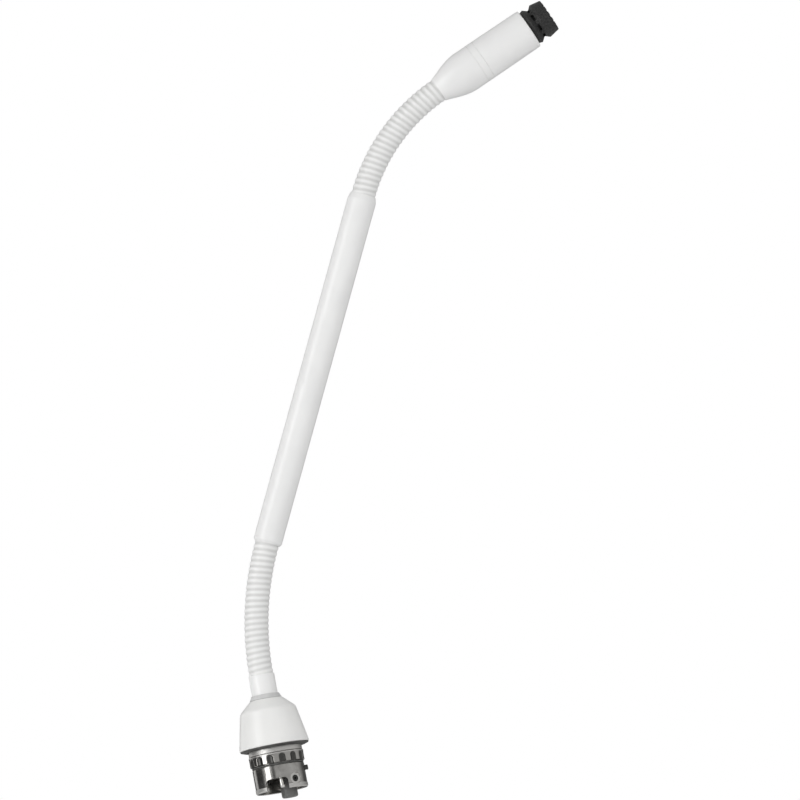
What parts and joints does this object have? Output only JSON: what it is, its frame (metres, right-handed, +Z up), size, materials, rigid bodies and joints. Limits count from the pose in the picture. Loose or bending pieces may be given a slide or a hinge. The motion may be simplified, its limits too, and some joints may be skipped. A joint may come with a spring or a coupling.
{
  "type": "gooseneck podium microphone",
  "caption": "Slim condenser microphone head on a white bendable neck with a rigid middle tube, over a bell-shaped cover and a quick-lock plug.",
  "frame": {"origin": "centre of the shoulder plane, where the bell cover ends and the plug begins, on the plug axis", "axes": "+Z up along the plug axis and the foot of the neck; +X the way the neck leans at rest, so that the rest bend lies in the XZ plane; -Z the way the plug goes into its socket"},
  "size_m": [0.1305, 0.0208, 0.2175],
  "materials": {
    "white_paint": "satin",
    "white_plastic": "gloss",
    "grey_rubber": "matte",
    "black_rubber": "matte",
    "black_plastic": "matte",
    "grey_plastic": "satin",
    "nickel": "polished",
    "dark_steel": "satin",
    "silver": "polished",
    "brass": "satin",
    "cable_sheath": "satin",
    "board": "satin",
    "foam": "matte"
  },
  "bodies": {
    "plug": {"plug_shell": "nickel", "shoulder_gasket": "black_rubber", "plug_o_ring": "black_rubber", "locating_pin": "dark_steel", "set_screw": "dark_steel", "contact_insert": "grey_plastic", "contact_pin_1": "silver", "contact_pin_2": "silver", "contact_pin_3": "silver", "conductor_1": "cable_sheath", "conductor_2": "cable_sheath", "conductor_3": "cable_sheath", "bell_cover": "white_plastic", "neck_grommet": "grey_rubber", "lower_collar": "white_paint", "anchor_stem": "dark_steel", "anchor_washer": "nickel", "anchor_nut": "nickel", "cable_clamp": "brass"},
    "lock_ring": {"lock_ring": "nickel"},
    "lower_link_1": {"lower_turns_1": "white_paint"},
    "lower_link_2": {"lower_turns_2": "white_paint"},
    "lower_link_3": {"lower_turns_3": "white_paint"},
    "lower_link_4": {"lower_turns_4": "white_paint"},
    "lower_link_5": {"lower_turns_5": "white_paint"},
    "lower_link_6": {"lower_turns_6": "white_paint"},
    "lower_link_7": {"lower_turns_7": "white_paint"},
    "lower_link_8": {"lower_turns_8": "white_paint"},
    "lower_link_9": {"lower_turns_9": "white_paint"},
    "lower_link_10": {"lower_turns_10": "white_paint"},
    "lower_link_11": {"lower_turns_11": "white_paint"},
    "stem": {"stem_tube": "white_paint", "stem_lower_ferrule": "dark_steel", "stem_upper_ferrule": "dark_steel", "signal_cable": "cable_sheath"},
    "upper_link_1": {"upper_turns_1": "white_paint"},
    "upper_link_2": {"upper_turns_2": "white_paint"},
    "upper_link_3": {"upper_turns_3": "white_paint"},
    "upper_link_4": {"upper_turns_4": "white_paint"},
    "upper_link_5": {"upper_turns_5": "white_paint"},
    "upper_link_6": {"upper_turns_6": "white_paint"},
    "upper_link_7": {"upper_turns_7": "white_paint"},
    "upper_link_8": {"upper_turns_8": "white_paint"},
    "upper_link_9": {"upper_turns_9": "white_paint"},
    "upper_link_10": {"upper_turns_10": "white_paint"},
    "upper_link_11": {"upper_turns_11": "white_paint"},
    "head": {"head_ferrule": "dark_steel", "head_tail": "white_paint", "thread_coupler": "brass", "joint_ring": "white_paint", "capsule_housing": "white_paint", "capsule_board": "board", "capsule_boot": "black_rubber", "capsule": "nickel", "capsule_cap": "black_plastic", "foam_disc": "foam", "front_grille": "black_plastic"}
  },
  "joints": [
    {"name": "lock_ring_turn", "type": "hinge", "parent": "plug", "child": "lock_ring", "pos_m": [0, 0, -0.0037], "axis": [0, 0, 1], "range_deg": [0, 60]},
    {"name": "lower_bend_1", "type": "hinge", "parent": "plug", "child": "lower_link_1", "pos_m": [0, 0, 0.02235], "axis": [0.0087, 1, -0.0001], "range_deg": [-14.28, 5.72], "deforming": ["signal_cable"]},
    {"name": "lower_side_1", "type": "hinge", "parent": "lower_link_1", "child": "lower_link_2", "pos_m": [0.0001, 0, 0.02572], "axis": [0.9988, -0.0087, -0.0487], "range_deg": [-10, 10]},
    {"name": "lower_bend_2", "type": "hinge", "parent": "lower_link_2", "child": "lower_link_3", "pos_m": [0.00033, 0, 0.02909], "axis": [0.0087, 1, -0.0008], "range_deg": [-14.28, 5.72]},
    {"name": "lower_side_2", "type": "hinge", "parent": "lower_link_3", "child": "lower_link_4", "pos_m": [0.00069, 0, 0.03246], "axis": [0.9919, -0.0087, -0.1264], "range_deg": [-10, 10]},
    {"name": "lower_bend_3", "type": "hinge", "parent": "lower_link_4", "child": "lower_link_5", "pos_m": [0.00119, 0, 0.0358], "axis": [0.0086, 1, -0.0014], "range_deg": [-14.28, 5.72]},
    {"name": "lower_side_3", "type": "hinge", "parent": "lower_link_5", "child": "lower_link_6", "pos_m": [0.00181, 0, 0.03912], "axis": [0.9791, -0.0087, -0.2033], "range_deg": [-10, 10]},
    {"name": "lower_bend_4", "type": "hinge", "parent": "lower_link_6", "child": "lower_link_7", "pos_m": [0.00256, 0, 0.04242], "axis": [0.0085, 1, -0.0021], "range_deg": [-14.28, 5.72]},
    {"name": "lower_side_4", "type": "hinge", "parent": "lower_link_7", "child": "lower_link_8", "pos_m": [0.00344, 0, 0.04568], "axis": [0.9602, -0.0087, -0.279], "range_deg": [-10, 10]},
    {"name": "lower_bend_5", "type": "hinge", "parent": "lower_link_8", "child": "lower_link_9", "pos_m": [0.00445, 0, 0.04891], "axis": [0.0083, 1, -0.0028], "range_deg": [-14.28, 5.72]},
    {"name": "lower_side_5", "type": "hinge", "parent": "lower_link_9", "child": "lower_link_10", "pos_m": [0.00558, 0, 0.05209], "axis": [0.9356, -0.0087, -0.353], "range_deg": [-10, 10]},
    {"name": "lower_bend_6", "type": "hinge", "parent": "lower_link_10", "child": "lower_link_11", "pos_m": [0.00683, 0, 0.05523], "axis": [0.008, 1, -0.0034], "range_deg": [-14.28, 5.72]},
    {"name": "lower_side_6", "type": "hinge", "parent": "lower_link_11", "child": "stem", "pos_m": [0.00821, 0, 0.05832], "axis": [0.9052, -0.0087, -0.4248], "range_deg": [-10, 10]},
    {"name": "upper_bend_1", "type": "hinge", "parent": "stem", "child": "upper_link_1", "pos_m": [0.05513, 0, 0.1558], "axis": [0.0078, 1, -0.0039], "range_deg": [-16.73, 3.27]},
    {"name": "upper_side_1", "type": "hinge", "parent": "upper_link_1", "child": "upper_link_2", "pos_m": [0.05673, 0, 0.15878], "axis": [0.8652, -0.0087, -0.5014], "range_deg": [-10, 10]},
    {"name": "upper_bend_2", "type": "hinge", "parent": "upper_link_2", "child": "upper_link_3", "pos_m": [0.05852, 0, 0.16165], "axis": [0.0073, 1, -0.0048], "range_deg": [-16.73, 3.27]},
    {"name": "upper_side_2", "type": "hinge", "parent": "upper_link_3", "child": "upper_link_4", "pos_m": [0.06047, 0, 0.1644], "axis": [0.7974, -0.0087, -0.6034], "range_deg": [-10, 10]},
    {"name": "upper_bend_3", "type": "hinge", "parent": "upper_link_4", "child": "upper_link_5", "pos_m": [0.06259, 0, 0.16703], "axis": [0.0066, 1, -0.0057], "range_deg": [-16.73, 3.27]},
    {"name": "upper_side_3", "type": "hinge", "parent": "upper_link_5", "child": "upper_link_6", "pos_m": [0.06487, 0, 0.16953], "axis": [0.7176, -0.0087, -0.6964], "range_deg": [-10, 10]},
    {"name": "upper_bend_4", "type": "hinge", "parent": "upper_link_6", "child": "upper_link_7", "pos_m": [0.0673, 0, 0.17188], "axis": [0.0059, 1, -0.0064], "range_deg": [-16.73, 3.27]},
    {"name": "upper_side_4", "type": "hinge", "parent": "upper_link_7", "child": "upper_link_8", "pos_m": [0.06986, 0, 0.17408], "axis": [0.627, -0.0087, -0.779], "range_deg": [-10, 10]},
    {"name": "upper_bend_5", "type": "hinge", "parent": "upper_link_8", "child": "upper_link_9", "pos_m": [0.07256, 0, 0.17612], "axis": [0.005, 1, -0.0071], "range_deg": [-16.73, 3.27]},
    {"name": "upper_side_5", "type": "hinge", "parent": "upper_link_9", "child": "upper_link_10", "pos_m": [0.07538, 0, 0.17799], "axis": [0.527, -0.0087, -0.8498], "range_deg": [-10, 10]},
    {"name": "upper_bend_6", "type": "hinge", "parent": "upper_link_10", "child": "upper_link_11", "pos_m": [0.0783, 0, 0.17968], "axis": [0.0041, 1, -0.0077], "range_deg": [-16.73, 3.27]},
    {"name": "upper_side_6", "type": "hinge", "parent": "upper_link_11", "child": "head", "pos_m": [0.08133, 0, 0.18119], "axis": [0.4191, -0.0087, -0.9079], "range_deg": [-10, 10]}
  ],
  "couplings": [
    {"joint": "lower_bend_2", "follows": "lower_bend_1", "ratio": 1},
    {"joint": "lower_side_2", "follows": "lower_side_1", "ratio": 1},
    {"joint": "lower_bend_3", "follows": "lower_bend_1", "ratio": 1},
    {"joint": "lower_side_3", "follows": "lower_side_1", "ratio": 1},
    {"joint": "lower_bend_4", "follows": "lower_bend_1", "ratio": 1},
    {"joint": "lower_side_4", "follows": "lower_side_1", "ratio": 1},
    {"joint": "lower_bend_5", "follows": "lower_bend_1", "ratio": 1},
    {"joint": "lower_side_5", "follows": "lower_side_1", "ratio": 1},
    {"joint": "lower_bend_6", "follows": "lower_bend_1", "ratio": 1},
    {"joint": "lower_side_6", "follows": "lower_side_1", "ratio": 1},
    {"joint": "upper_bend_2", "follows": "upper_bend_1", "ratio": 1},
    {"joint": "upper_side_2", "follows": "upper_side_1", "ratio": 1},
    {"joint": "upper_bend_3", "follows": "upper_bend_1", "ratio": 1},
    {"joint": "upper_side_3", "follows": "upper_side_1", "ratio": 1},
    {"joint": "upper_bend_4", "follows": "upper_bend_1", "ratio": 1},
    {"joint": "upper_side_4", "follows": "upper_side_1", "ratio": 1},
    {"joint": "upper_bend_5", "follows": "upper_bend_1", "ratio": 1},
    {"joint": "upper_side_5", "follows": "upper_side_1", "ratio": 1},
    {"joint": "upper_bend_6", "follows": "upper_bend_1", "ratio": 1},
    {"joint": "upper_side_6", "follows": "upper_side_1", "ratio": 1}
  ]
}
